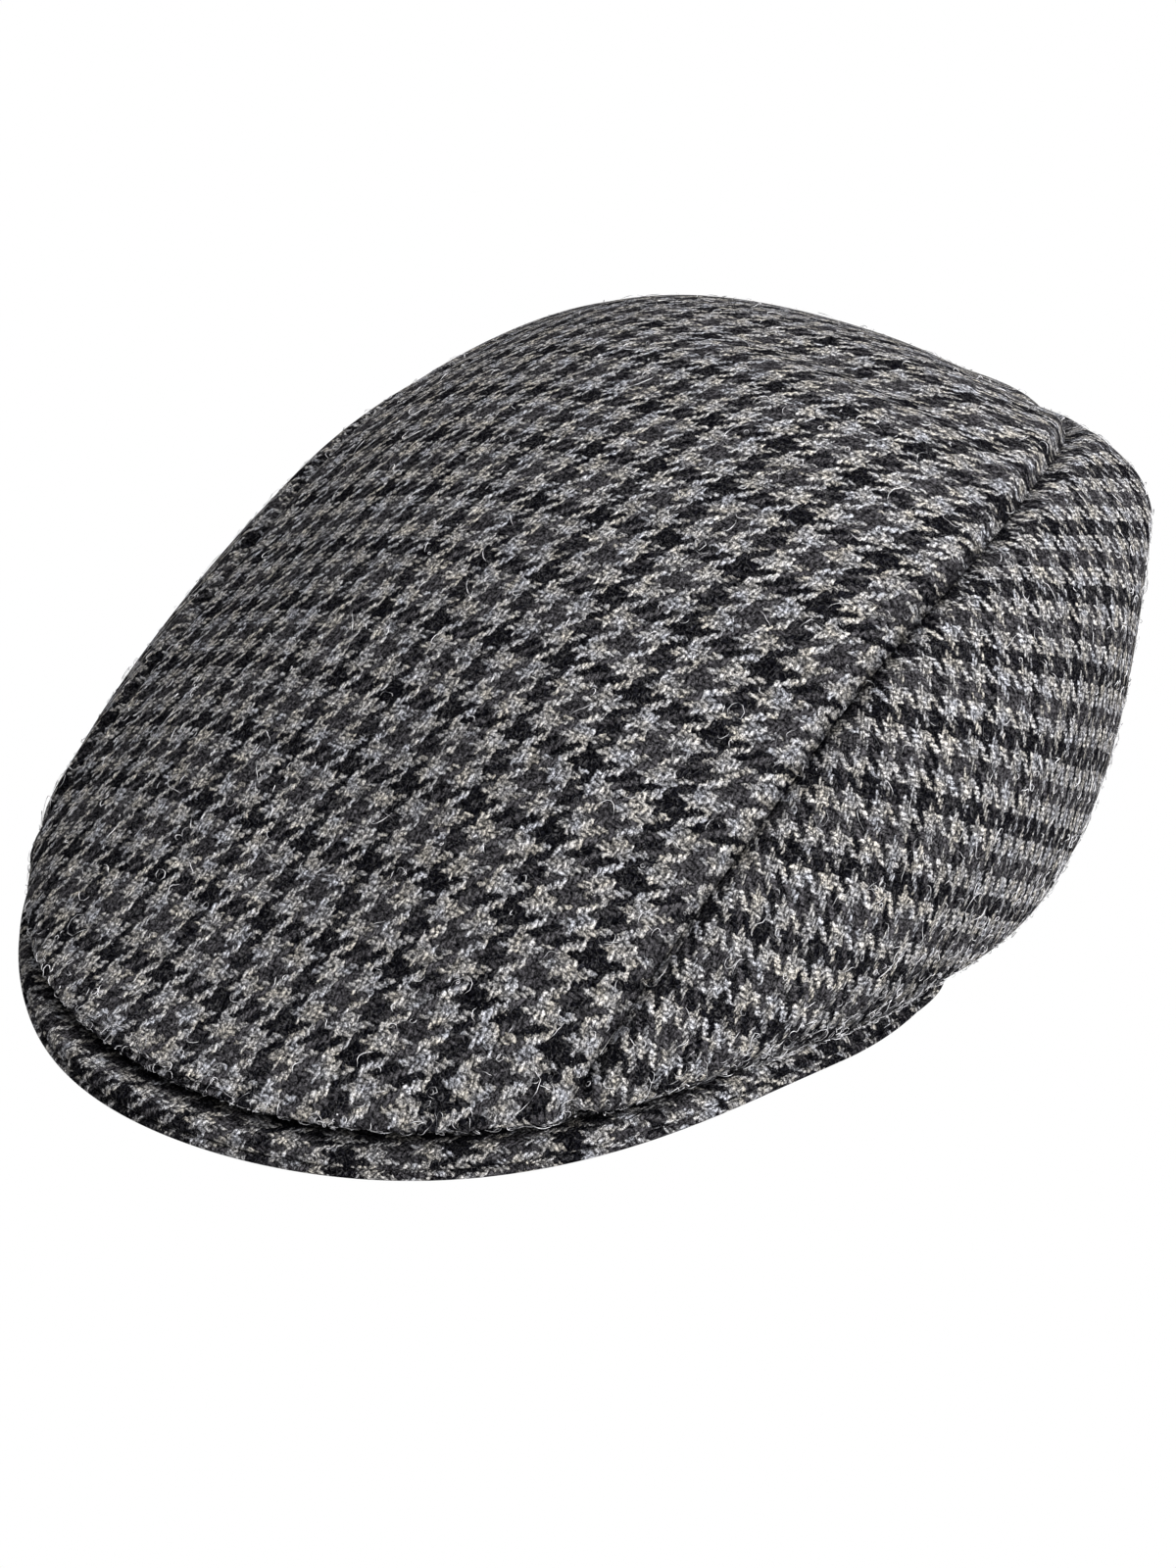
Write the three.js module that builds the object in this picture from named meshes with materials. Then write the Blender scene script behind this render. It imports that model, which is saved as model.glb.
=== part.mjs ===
// A three-panel flat cap of thick wool cloth, as it rests on a table.
// Millimetres, +Z up, the peak towards -Y, the wearer's left towards +X.
// The origin is at the middle of the cap's box, on the table.
import * as THREE from "three";
import { mergeVertices } from "three/addons/utils/BufferGeometryUtils.js";

// Crown, outside sizes
const CROWN_WIDTH = 207;
const CROWN_LENGTH = 255;
const CREST_HEIGHT = 110.3; // of the line over the top, at its highest
const CREST_BACK = 60.5; // how far behind the head's centre the crest lies
const CREST_ROUND = 60; // distance from the crest in which its curve turns into a slope
const TOP_FALL = 34.5; // how far the top falls in that distance, along its straight slope

// Head opening, inside the rim's outer edge
const OPENING_WIDTH = 171.8;
const OPENING_FRONT = 97;
const OPENING_BACK = 102;

// The rim lies on the table at the back and rises over the temples to the peak
const RIM_LIFT = 9.4;
const RIM_LIFT_FROM = 60; // degrees from the front
const RIM_LIFT_TO = 130;

// Top panel's outline, seen from above
const TOP_PANEL_HALF_WIDTH = 75.4;
const TOP_PANEL_BACK = 130;
const TOP_PANEL_CORNER = 1.95; // exponent of its rounded back

// Cloth and gaps
const CLOTH = 1.6;
const GAP = 0.3;
const SEAM_DIP = 1.2;
const SEAM_DIP_WIDTH = 6;

// Peak
const PEAK_REACH = 6.5; // beyond the crown's front edge
const PEAK_END = 88; // degrees from the front, where its horns end
const PEAK_LEAVE = 25; // degrees behind its end in which the crown's underside comes down to the rim
const PEAK_TOP_CLOTH = 2.4;
const PEAK_UNDER_CLOTH = 2.2;
const PEAK_ARCH = 3.7; // height of its middle above the table
const PEAK_CLEARANCE = 0.7; // between the peak and the crown that lies on it

// The crown's sections, from the front of the head (0 degrees) to the back (180 degrees).
// reach: outline, as a share of the oval CROWN_WIDTH by CROWN_LENGTH
// belly: height of the widest point, as a share of CREST_HEIGHT
// top: exponent of the curve over the head, edge: exponent of its turn down to the belly
const SECTIONS = [
  { angle: 0, reach: 1.013, belly: 0.102, top: 1.88, edge: 1.19 },
  { angle: 30, reach: 1.02, belly: 0.119, top: 2.0, edge: 1.58 },
  { angle: 60, reach: 0.994, belly: 0.215, top: 1.9, edge: 1.71 },
  { angle: 90, reach: 0.962, belly: 0.357, top: 2.06, edge: 1.87 },
  { angle: 120, reach: 0.968, belly: 0.488, top: 2.08, edge: 1.78 },
  { angle: 150, reach: 1.027, belly: 0.607, top: 2.15, edge: 1.73 },
  { angle: 180, reach: 1.046, belly: 0.592, top: 2.22, edge: 1.73 },
];
// Near the head's centre every section has these exponents, so the top is smooth there
const CENTRE_TOP = 2.1;
const CENTRE_EDGE = 1.8;
const CENTRE_SHARE = 0.7;

// The peak's sections, at equal steps from the front to PEAK_END.
// reach: share of PEAK_REACH, height: of the outer lower edge, as a share of PEAK_ARCH
const PEAK_SECTIONS = [
  { step: 0, reach: 1.05, height: 1.1 },
  { step: 1, reach: 0.45, height: 0.75 },
  { step: 2, reach: 0.0, height: 1.5 },
  { step: 3, reach: -1.3, height: 0.9 },
  { step: 4, reach: -1.45, height: 0.3 },
];

// Dents and bulges of the slack cloth. side and back: place, as shares of the half width and
// half length; turn: degrees from +X of its long axis; length and width: shares of CROWN_WIDTH;
// depth: inwards, as a share of DENT_DEPTH.
const DENT_DEPTH = 2.2;
const DENTS = [
  { name: "crease over the back", side: 0.23, back: 0.44, turn: 10, length: 0.164, width: 0.043, depth: 1 },
  { name: "dent in the back edge", side: 0.27, back: 0.84, turn: 0, length: 0.077, width: 0.058, depth: 0.82 },
  { name: "full left back corner", side: 0.6, back: 0.84, turn: 135, length: 0.077, width: 0.068, depth: -0.91 },
  { name: "hollow by the left seam", side: 0.72, back: -0.16, turn: 80, length: 0.174, width: 0.058, depth: 0.64 },
];

// The dents and the seam's valley die out below this share of the belly's height
const DENTS_FROM = 0.6;

// Mesh steps
const TOP_ROWS = 11;
const FOLD_ROWS = 5;
const SIDE_ROWS = 5;
const FRONT_COLUMNS = 16;
const SEAM_COLUMNS = 22;
const PEAK_COLUMNS = 34;
const PEAK_ROWS = 5;

const radians = THREE.MathUtils.degToRad;

/** Value at a share 0..1 of the way through equal rows, by the cosine series through them. */
function throughRows(rows, column, share) {
  const last = rows.length - 1;
  let total = 0;
  for (let k = 0; k <= last; k += 1) {
    let term = 0;
    for (let j = 0; j <= last; j += 1) {
      const half = j === 0 || j === last ? 0.5 : 1;
      term += half * rows[j][column] * Math.cos((Math.PI * j * k) / last);
    }
    const halfTerm = k === 0 || k === last ? 0.5 : 1;
    total += ((2 * halfTerm) / last) * term * Math.cos(Math.PI * k * share);
  }
  return total;
}

/** A crown column at an angle from the front, the same on both sides. */
function crownColumn(column, angle) {
  return throughRows(SECTIONS, column, Math.abs(angle) / 180);
}

/** Radius of an oval with half width a and half length b, at an angle from the front. */
function ovalRadius(a, b, angle) {
  return 1 / Math.hypot(Math.sin(radians(angle)) / a, Math.cos(radians(angle)) / b);
}

function crownRadius(angle) {
  return crownColumn("reach", angle) * ovalRadius(CROWN_WIDTH / 2, CROWN_LENGTH / 2, angle);
}

function bellyHeight(angle) {
  return crownColumn("belly", angle) * CREST_HEIGHT;
}

function rimRadius(angle) {
  const length = Math.cos(radians(angle)) > 0 ? OPENING_FRONT : OPENING_BACK;
  return ovalRadius(OPENING_WIDTH / 2, length, angle);
}

/** Height of the rim: flat on the table at the back, lifted by RIM_LIFT at the front. */
function rimHeight(angle) {
  const fallen = THREE.MathUtils.smoothstep(Math.abs(angle), RIM_LIFT_FROM, RIM_LIFT_TO);
  return RIM_LIFT * (1 - fallen);
}

/** Height of the line over the top of the head: a rounded crest between two straight slopes. */
function topLine(y) {
  return CREST_HEIGHT - TOP_FALL * (Math.hypot(1, (y - CREST_BACK) / CREST_ROUND) - 1);
}

/** A point of the peak's outer edge, as radius and height of its lower corner. */
function peakEdge(angle) {
  const share = Math.abs(angle) / PEAK_END;
  return {
    radius: crownRadius(angle) + PEAK_REACH * throughRows(PEAK_SECTIONS, "reach", share),
    height: PEAK_ARCH * throughRows(PEAK_SECTIONS, "height", share),
  };
}

const PEAK_THICKNESS = PEAK_TOP_CLOTH + GAP + PEAK_UNDER_CLOTH;

/** Height of the peak's upper face at a radius: straight from the rim out to its edge. */
function peakTop(angle, radius) {
  const within = Math.min(Math.abs(angle), PEAK_END);
  const edge = peakEdge(within);
  const inner = rimHeight(within) - PEAK_CLEARANCE;
  const rise = edge.height + PEAK_THICKNESS - inner;
  return inner + rise * ((radius - rimRadius(within)) / (edge.radius - rimRadius(within)));
}

/** Lowest height of the crown's underside: on the peak, and level with the rim behind it. */
function underline(angle, radius) {
  const behind = THREE.MathUtils.smoothstep(Math.abs(angle), PEAK_END, PEAK_END + PEAK_LEAVE);
  const onPeak = peakTop(angle, radius) + PEAK_CLEARANCE;
  const level = rimHeight(angle);
  const drop = level - rimHeight(Math.min(Math.abs(angle), PEAK_END));
  return (onPeak + drop) * (1 - behind) + level * behind;
}

/** A point of the crown. way 0 is its centre, 1 the widest line, 2 the rim. */
function crownPoint(angle, way) {
  const reach = crownRadius(angle);
  const belly = bellyHeight(angle);
  const along = new THREE.Vector3(Math.sin(radians(angle)), -Math.cos(radians(angle)), 0);
  if (way <= 1) {
    const share = Math.sin((way * Math.PI) / 2);
    const point = along.multiplyScalar(reach * share);
    const eased = THREE.MathUtils.smoothstep(share, 0, CENTRE_SHARE);
    const top = THREE.MathUtils.lerp(CENTRE_TOP, crownColumn("top", angle), eased);
    const edge = THREE.MathUtils.lerp(CENTRE_EDGE, crownColumn("edge", angle), eased);
    const blend = Math.max(0, 1 - share ** top) ** (1 / edge);
    point.z = topLine(point.y) * blend + belly * (1 - blend);
    return point;
  }
  const turn = ((way - 1) * Math.PI) / 2;
  const inner = rimRadius(angle);
  const radius = inner + (reach - inner) * Math.max(0, Math.cos(turn)) ** 0.8;
  const line = underline(angle, radius);
  const point = along.multiplyScalar(radius);
  point.z = line + (belly - underline(angle, reach)) * (1 - Math.sin(turn) ** 0.9);
  return point;
}

/** Outward direction of the smooth crown, from points a little to each side. */
function crownNormal(angle, way) {
  if (way < 0.02) {
    const slope = (topLine(1) - topLine(-1)) / 2;
    return new THREE.Vector3(0, -slope, 1).normalize();
  }
  const from = Math.max(way - 0.03, 0.01);
  const to = Math.min(way + 0.03, 2);
  const down = crownPoint(angle, to).sub(crownPoint(angle, from));
  const round = crownPoint(angle + 1, way).sub(crownPoint(angle - 1, way));
  return down.cross(round).normalize();
}

/** Radius of the seam between top and side panel, in plan, for a panel of a half width. */
function seamRadius(angle, halfWidth, back) {
  const side = Math.abs(Math.sin(radians(angle)));
  const rear = Math.max(0, -Math.cos(radians(angle)));
  const sum = (side / halfWidth) ** TOP_PANEL_CORNER + (rear / back) ** TOP_PANEL_CORNER;
  return 1 / sum ** (1 / TOP_PANEL_CORNER);
}

/** How far along the crown's section the seam lies, at most the widest line. */
function seamWay(angle, shift) {
  const radius = seamRadius(angle, TOP_PANEL_HALF_WIDTH + shift, TOP_PANEL_BACK + shift);
  return (Math.asin(Math.min(1, radius / crownRadius(angle))) * 2) / Math.PI;
}

/** Angle at which the seam reaches the widest line near the front. */
function seamFrontAngle(shift) {
  let low = 5;
  let high = 85;
  for (let i = 0; i < 40; i += 1) {
    const middle = (low + high) / 2;
    if (seamWay(middle, shift) < 1) high = middle;
    else low = middle;
  }
  return high;
}

/** Depth of the seam's valley and of the dents at a point of the crown. */
function sunkDepth(point) {
  const angle = THREE.MathUtils.radToDeg(Math.atan2(Math.abs(point.x), -point.y));
  const radius = Math.hypot(point.x, point.y);
  const seam = seamRadius(angle, TOP_PANEL_HALF_WIDTH, TOP_PANEL_BACK);
  const belly = bellyHeight(angle);
  const above = THREE.MathUtils.smoothstep(point.z, belly * DENTS_FROM, belly);
  let depth = SEAM_DIP * above * Math.exp(-(((radius - seam) / SEAM_DIP_WIDTH) ** 2));
  for (const dent of DENTS) {
    const dx = point.x - (dent.side * CROWN_WIDTH) / 2;
    const dy = point.y - (dent.back * CROWN_LENGTH) / 2;
    const turn = radians(dent.turn);
    const along = (dx * Math.cos(turn) + dy * Math.sin(turn)) / (dent.length * CROWN_WIDTH);
    const across = (dy * Math.cos(turn) - dx * Math.sin(turn)) / (dent.width * CROWN_WIDTH);
    depth += DENT_DEPTH * dent.depth * above * Math.exp(-(along ** 2) - across ** 2);
  }
  return depth;
}

/** Grid of outer and inner points of the crown, for columns of angles with their ways. */
function crownGrid(columns) {
  return columns.map(({ angle, ways }) =>
    ways.map((way) => {
      const smooth = crownPoint(angle, way);
      const normal = crownNormal(angle, way);
      const outer = smooth.clone().addScaledVector(normal, -sunkDepth(smooth));
      const inner = outer.clone().addScaledVector(normal, -CLOTH);
      if (way === 2) inner.z = outer.z;
      return { outer, inner };
    }),
  );
}

/** Two faces of each cell of a grid, as triples of grid keys. */
function gridTriangles(grid, closed) {
  const triangles = [];
  const count = grid.length - (closed ? 0 : 1);
  for (let i = 0; i < count; i += 1) {
    const next = (i + 1) % grid.length;
    for (let j = 0; j + 1 < grid[i].length; j += 1) {
      const a = grid[i][j];
      const b = grid[i][j + 1];
      const c = grid[next][j + 1];
      const d = grid[next][j];
      triangles.push([a, b, c], [a, c, d]);
    }
  }
  return triangles;
}

/** A closed solid from a sheet's triangles: outer faces, inner faces, and a wall round each edge. */
function thickSheet(triangles) {
  const keyOf = (p) => [p.outer.x, p.outer.y, p.outer.z].map((v) => Math.round(v * 500)).join();
  const points = new Map();
  const index = (p) => {
    const key = keyOf(p);
    if (!points.has(key)) points.set(key, { ...p, at: points.size });
    return points.get(key);
  };
  const faces = triangles
    .map((triangle) => triangle.map(index))
    .filter(([a, b, c]) => a !== b && b !== c && c !== a);
  const edges = new Map();
  for (const face of faces) {
    face.forEach((from, i) => {
      const to = face[(i + 1) % 3];
      edges.set(`${from.at}_${to.at}`, [from, to]);
    });
  }
  const flat = [];
  for (const [a, b, c] of faces) {
    flat.push(a.outer, b.outer, c.outer, a.inner, c.inner, b.inner);
  }
  for (const [from, to] of edges.values()) {
    if (edges.has(`${to.at}_${from.at}`)) continue;
    flat.push(from.outer, from.inner, to.inner, from.outer, to.inner, to.outer);
  }
  const geometry = new THREE.BufferGeometry().setFromPoints(flat);
  return mergeVertices(geometry, 1e-3);
}

const ramp = (from, to, steps) =>
  Array.from({ length: steps + 1 }, (unused, i) => from + ((to - from) * i) / steps);

/** Ways from the crown's centre to an end, closer together near the end. */
const towardsEdge = (end) => ramp(0, 1, TOP_ROWS).map((t) => end * (1 - (1 - t) ** 1.4));

/** Angles of the columns along one seam, from the front of the side panel to the centre back. */
function seamAngles() {
  const back = 180 - THREE.MathUtils.radToDeg(GAP / 2 / OPENING_BACK);
  return ramp(seamFrontAngle(GAP / 2), back, SEAM_COLUMNS);
}

/** The long centre panel: over the head, and folded under at the front between the seams. */
function topPanel() {
  const front = seamFrontAngle(-GAP / 2);
  const frontAngles = ramp(-front, front, FRONT_COLUMNS);
  const left = seamAngles();
  const backAngles = [...left.slice(0, -1), 180, ...left.slice(0, -1).reverse().map((a) => -a)];
  const crown = [
    ...frontAngles.map((angle) => ({ angle, ways: towardsEdge(1) })),
    ...backAngles.map((angle) => ({ angle, ways: towardsEdge(seamWay(angle, -GAP / 2)) })),
  ];
  const fold = frontAngles.map((angle) => ({ angle, ways: ramp(1, 2, FOLD_ROWS) }));
  return thickSheet([
    ...gridTriangles(crownGrid(crown), true),
    ...gridTriangles(crownGrid(fold), false),
  ]);
}

/** One side panel, from the seam down to the rim. side is +1 for the wearer's left, -1 right. */
function sidePanel(side) {
  const angles = seamAngles();
  const ordered = side > 0 ? angles : angles.map((angle) => -angle).reverse();
  const columns = ordered.map((angle) => {
    const seam = seamWay(angle, GAP / 2);
    return { angle, ways: [...ramp(seam, 1, SIDE_ROWS), ...ramp(1, 2, FOLD_ROWS + 1).slice(1)] };
  });
  return thickSheet(gridTriangles(crownGrid(columns), false));
}

/** One cover of the peak: a curved plate from the rim out to the edge, below its upper face. */
function peakCover(below, thickness, shorter) {
  const grid = ramp(-PEAK_END, PEAK_END, PEAK_COLUMNS).map((angle) => {
    const inner = rimRadius(angle) - CLOTH;
    const outer = peakEdge(angle).radius - shorter;
    return ramp(0, 1, PEAK_ROWS).map((t) => {
      const radius = inner + (outer - inner) * (1 - (1 - t) ** 1.5);
      const x = Math.sin(radians(angle)) * radius;
      const y = -Math.cos(radians(angle)) * radius;
      const height = peakTop(angle, radius) - below;
      return {
        outer: new THREE.Vector3(x, y, height),
        inner: new THREE.Vector3(x, y, height - thickness),
      };
    });
  });
  return thickSheet(gridTriangles(grid, false));
}

const wool = new THREE.MeshStandardMaterial({ color: 0x5e5c5d, roughness: 0.95, metalness: 0 });
const pieces = {
  top_panel: topPanel(),
  side_panel_left: sidePanel(1),
  side_panel_right: sidePanel(-1),
  peak_top_cover: peakCover(0, PEAK_TOP_CLOTH, 0),
  peak_under_cover: peakCover(PEAK_TOP_CLOTH + GAP, PEAK_UNDER_CLOTH, 0.6),
};

const cap = new THREE.Group();
for (const [name, geometry] of Object.entries(pieces)) {
  const mesh = new THREE.Mesh(geometry, wool.clone());
  mesh.name = name;
  cap.add(mesh);
}

// The pieces are moved together, so that the origin is at the middle of the cap's box.
const box = new THREE.Box3().setFromObject(cap);
const centre = box.getCenter(new THREE.Vector3());
for (const mesh of cap.children) mesh.geometry.translate(-centre.x, -centre.y, -box.min.z);

export default cap;
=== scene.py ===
"""A flat cap in thick checked wool, dressed on the frame of its panels and peak.

Metres, +Z up, the peak towards -Y and the wearer's left towards +X, as in the frame.
"""

import math

import bpy
import numpy as np
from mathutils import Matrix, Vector


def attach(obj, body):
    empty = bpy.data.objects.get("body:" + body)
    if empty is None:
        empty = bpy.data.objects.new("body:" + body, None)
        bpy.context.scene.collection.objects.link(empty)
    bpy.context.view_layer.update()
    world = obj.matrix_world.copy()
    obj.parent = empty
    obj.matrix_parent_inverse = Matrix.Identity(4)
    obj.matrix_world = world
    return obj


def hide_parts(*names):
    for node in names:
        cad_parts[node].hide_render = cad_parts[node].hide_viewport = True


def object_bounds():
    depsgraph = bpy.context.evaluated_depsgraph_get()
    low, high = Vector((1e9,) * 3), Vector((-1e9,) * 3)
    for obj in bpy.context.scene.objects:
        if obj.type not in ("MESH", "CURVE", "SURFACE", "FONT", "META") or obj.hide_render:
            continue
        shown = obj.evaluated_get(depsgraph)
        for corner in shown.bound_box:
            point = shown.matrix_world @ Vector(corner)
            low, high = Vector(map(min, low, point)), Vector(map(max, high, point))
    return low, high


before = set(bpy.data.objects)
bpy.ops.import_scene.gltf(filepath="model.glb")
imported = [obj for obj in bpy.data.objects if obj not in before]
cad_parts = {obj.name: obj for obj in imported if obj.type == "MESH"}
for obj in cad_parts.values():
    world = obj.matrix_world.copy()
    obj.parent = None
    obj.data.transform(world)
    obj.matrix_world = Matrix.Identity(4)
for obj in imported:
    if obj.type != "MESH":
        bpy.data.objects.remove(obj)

CAD_LOW, CAD_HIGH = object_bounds()
MM = 0.001

# Crown sizes, the same as the panels' solids
CROWN_WIDTH = 207 * MM
CROWN_LENGTH = 255 * MM
CREST_HEIGHT = 110.3 * MM
CREST_BACK = 60.5 * MM
CREST_ROUND = 60 * MM
TOP_FALL = 34.5 * MM
OPENING_WIDTH = 171.8 * MM
OPENING_FRONT = 97 * MM
OPENING_BACK = 102 * MM
RIM_LIFT = 9.4 * MM
RIM_LIFT_FROM = 60
RIM_LIFT_TO = 130
TOP_PANEL_HALF_WIDTH = 75.4 * MM
TOP_PANEL_BACK = 130 * MM
TOP_PANEL_CORNER = 1.95
CENTRE_TOP = 2.1
CENTRE_EDGE = 1.8
CENTRE_SHARE = 0.7
FOLD_IN = 0.8
FOLD_DOWN = 0.9
PEAK_REACH = 6.5 * MM
PEAK_END = 88
PEAK_LEAVE = 25
PEAK_ARCH = 3.7 * MM
PEAK_CLEARANCE = 0.7 * MM
PEAK_THICKNESS = 4.9 * MM

# Cloth
CLOTH = 1.6 * MM
SEAM_GAP = 0.1 * MM
SEAM_DEPTH = 2.5 * MM
SEAM_WIDTH = 2.1 * MM
PUFF_HEIGHT = 0.7 * MM
PUFF_AWAY = 5.5 * MM
PUFF_WIDTH = 3.5 * MM
# Painted shade: cloth in a furrow is painted this share darker, over this distance from the seam.
# The painted shade is strongest at the side, over some degrees, and weaker in front and behind.
FURROW_PAINTED_SHADE = 0.8
FURROW_WIDTH = 1.5 * MM
FURROW_SIDE = 95
FURROW_SPREAD = 32
FURROW_LEAST = 0.45
# Under the front edge the painted shade grows between these ways, and fades before the peak's end
FURROW_UNDER = (1.15, 1.5)
FURROW_FADE = 20

# Sections from the front (0 degrees) to the back (180 degrees), every 30 degrees
REACH = [1.013, 1.02, 0.994, 0.962, 0.968, 1.027, 1.046]
BELLY = [0.102, 0.119, 0.215, 0.357, 0.488, 0.607, 0.592]
TOP = [1.88, 2.0, 1.9, 2.06, 2.08, 2.15, 2.22]
EDGE = [1.19, 1.58, 1.71, 1.87, 1.78, 1.73, 1.73]
# The peak's outer edge at equal steps from the front to its horns
PEAK_OUT = [1.05, 0.45, 0.0, -1.3, -1.45]
PEAK_UP = [1.1, 0.75, 1.5, 0.9, 0.3]

# Dents and bulges: side and back place, as shares of the half width and half length; turn of the
# long axis in degrees from +X; length, width and depth in millimetres, a bulge's depth negative
DENTS = [
    {"name": "crease over the back", "side": 0.23, "back": 0.44, "turn": 10, "size": (34, 8, 3)},
    {"name": "dent in the back edge", "side": 0.27, "back": 0.84, "turn": 0, "size": (16, 12, 2.7)},
    {"name": "full left back corner", "side": 0.6, "back": 0.84, "turn": 135, "size": (16, 14, -2)},
    {"name": "hollow by the left seam", "side": 0.72, "back": -0.16, "turn": 80, "size": (36, 12, 1.4)},
]
DENTS_FROM = 0.6

# Mesh steps
FRONT_COLUMNS = 90
SEAM_COLUMNS = 120
TOP_ROWS = 110
FOLD_ROWS = 24
SIDE_ROWS = 60
PEAK_COLUMNS = 260
PEAK_ROWS = 15
EDGE_CROWDING = 1.5
SEAM_CROWDING = 1.25


def smoothstep(value, low, high):
    """Share of the way from low to high, eased: 3t squared minus 2t cubed."""
    t = np.clip((value - low) / (high - low), 0, 1)
    return t * t * (3 - 2 * t)


def through_rows(rows, share):
    """Cosine series through equally spaced rows, read at a share 0..1 of the way."""
    last = len(rows) - 1
    steps = np.arange(last + 1)
    half = np.ones(last + 1)
    half[[0, -1]] = 0.5
    waves = np.cos(np.pi * np.outer(steps, steps) / last)
    terms = 2 / last * half * (waves @ (half * np.array(rows)))
    return np.cos(np.pi * np.multiply.outer(np.abs(share), steps)) @ terms


def oval(half_width, half_length, angle):
    """Radius of an oval at an angle in degrees from its front."""
    a = np.radians(angle)
    return 1 / np.hypot(np.sin(a) / half_width, np.cos(a) / half_length)


def crown_radius(angle):
    return through_rows(REACH, angle / 180) * oval(CROWN_WIDTH / 2, CROWN_LENGTH / 2, angle)


def belly_height(angle):
    return through_rows(BELLY, angle / 180) * CREST_HEIGHT


def rim_radius(angle):
    length = np.where(np.cos(np.radians(angle)) > 0, OPENING_FRONT, OPENING_BACK)
    return oval(OPENING_WIDTH / 2, length, angle)


def rim_height(angle):
    return RIM_LIFT * (1 - smoothstep(np.abs(angle), RIM_LIFT_FROM, RIM_LIFT_TO))


def top_line(y):
    """Height over the middle of the head: a rounded crest between two straight slopes."""
    return CREST_HEIGHT - TOP_FALL * (np.hypot(1, (y - CREST_BACK) / CREST_ROUND) - 1)


def peak_edge(angle):
    """Radius and lower height of the peak's outer edge."""
    share = np.abs(angle) / PEAK_END
    radius = crown_radius(angle) + PEAK_REACH * through_rows(PEAK_OUT, share)
    return radius, PEAK_ARCH * through_rows(PEAK_UP, share)


def peak_top(angle, radius):
    """Height of the peak's upper face: straight from the rim out to its edge."""
    within = np.minimum(np.abs(angle), PEAK_END)
    edge_radius, edge_height = peak_edge(within)
    inner = rim_height(within) - PEAK_CLEARANCE
    slope = (edge_height + PEAK_THICKNESS - inner) / (edge_radius - rim_radius(within))
    return inner + slope * (radius - rim_radius(within))


def underline(angle, radius):
    """Lowest height of the crown's underside: on the peak, level with the rim behind it."""
    behind = smoothstep(np.abs(angle), PEAK_END, PEAK_END + PEAK_LEAVE)
    level = rim_height(angle)
    drop = level - rim_height(np.minimum(np.abs(angle), PEAK_END))
    return (peak_top(angle, radius) + PEAK_CLEARANCE + drop) * (1 - behind) + level * behind


def crown(angle, way):
    """Points of the smooth crown: way 0 is the head's centre, 1 the widest line and 2 the rim.

    Above the widest line the height blends from the top line to the belly by a rounded power curve
    of the share of the radius. Below it the radius and height follow powers of a cosine and a sine.
    """
    angle, way = np.broadcast_arrays(np.asarray(angle, float), np.asarray(way, float))
    reach, belly = crown_radius(angle), belly_height(angle)
    front = -np.cos(np.radians(angle))
    share = np.sin(np.minimum(way, 1) * np.pi / 2)
    eased = smoothstep(share, 0, CENTRE_SHARE)
    power = CENTRE_TOP + (through_rows(TOP, angle / 180) - CENTRE_TOP) * eased
    turn = CENTRE_EDGE + (through_rows(EDGE, angle / 180) - CENTRE_EDGE) * eased
    blend = np.maximum(1 - share**power, 0) ** (1 / turn)
    over = top_line(front * reach * share) * blend + belly * (1 - blend)
    sweep = np.clip(way - 1, 0, 1) * np.pi / 2
    inner = rim_radius(angle)
    radius = inner + (reach - inner) * np.maximum(np.cos(sweep), 0) ** FOLD_IN
    under = underline(angle, radius)
    under = under + (belly - underline(angle, reach)) * (1 - np.sin(sweep) ** FOLD_DOWN)
    radius = np.where(way <= 1, reach * share, radius)
    height = np.where(way <= 1, over, under)
    return np.stack([radius * np.sin(np.radians(angle)), radius * front, height], -1)


# How far below, above and to each side of a point the crown's direction is measured: two ways and
# an angle in degrees
LOOK_DOWN = 0.03
LOOK_UP = 0.02
LOOK_ASIDE = 1


def crown_normal(angle, way):
    """Outward direction of the smooth crown: the cross product of its runs down and round."""
    near = np.maximum(way, LOOK_DOWN)
    down = crown(angle, np.minimum(near + LOOK_DOWN, 2)) - crown(angle, near - LOOK_UP)
    turn = crown(angle + LOOK_ASIDE, near) - crown(angle - LOOK_ASIDE, near)
    normal = np.cross(down, turn)
    return normal / np.linalg.norm(normal, axis=-1, keepdims=True)


def seam_radius(angle, shift=0.0):
    """Plan radius of the top panel's edge: an oval of higher power behind, straight in front."""
    a = np.radians(angle)
    side = (np.abs(np.sin(a)) / (TOP_PANEL_HALF_WIDTH + shift)) ** TOP_PANEL_CORNER
    rear = (np.maximum(-np.cos(a), 0) / (TOP_PANEL_BACK + shift)) ** TOP_PANEL_CORNER
    return 1 / np.maximum(side + rear, 1e-9) ** (1 / TOP_PANEL_CORNER)


def seam_way(angle, shift=0.0):
    return np.arcsin(np.minimum(1, seam_radius(angle, shift) / crown_radius(angle))) * 2 / np.pi


SEAM_FRONT_WITHIN = (5, 85)
SEAM_FRONT_STEPS = 16001


def seam_front(shift):
    """Angle at which the seam reaches the widest line near the front."""
    angles = np.linspace(*SEAM_FRONT_WITHIN, SEAM_FRONT_STEPS)
    return angles[np.argmax(seam_way(angles, shift) < 1)]


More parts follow.
